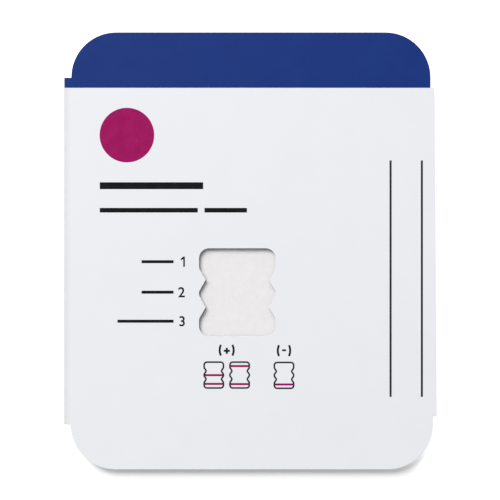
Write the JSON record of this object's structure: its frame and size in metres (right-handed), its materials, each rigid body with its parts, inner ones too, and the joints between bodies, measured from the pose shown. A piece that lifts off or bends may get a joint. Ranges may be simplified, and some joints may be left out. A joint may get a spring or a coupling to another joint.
{
  "type": "lateral flow test card",
  "caption": "Closed folding board card for a lateral flow test, with rounded corners, a scalloped result window and a test strip laid up between its panels.",
  "frame": {"origin": "middle of the card's outline, on the surface that its back panel lies on", "axes": "+Z out of the front face, +Y towards the taller top edge of the back panel, +X away from the spine"},
  "size_m": [0.0894, 0.105, 0.0024],
  "materials": {
    "board": "white clay-coated board with a satin print varnish",
    "clear_film": "clear gloss film",
    "backing": "smooth white sheet",
    "membrane": "matt, finely porous",
    "conjugate": "matt glass-fibre pad with dried colour",
    "sample": "matt, fibrous",
    "wick": "matt, soft and fibrous",
    "foam": "fine closed-cell foam"
  },
  "bodies": {
    "root": {"folded_card": "board", "window_film": "clear_film", "strip_backing": "backing", "membrane": "membrane", "conjugate_pad": "conjugate", "sample_pad": "sample", "wick_pad": "wick", "adhesive_strip": "foam"}
  },
  "joints": []
}
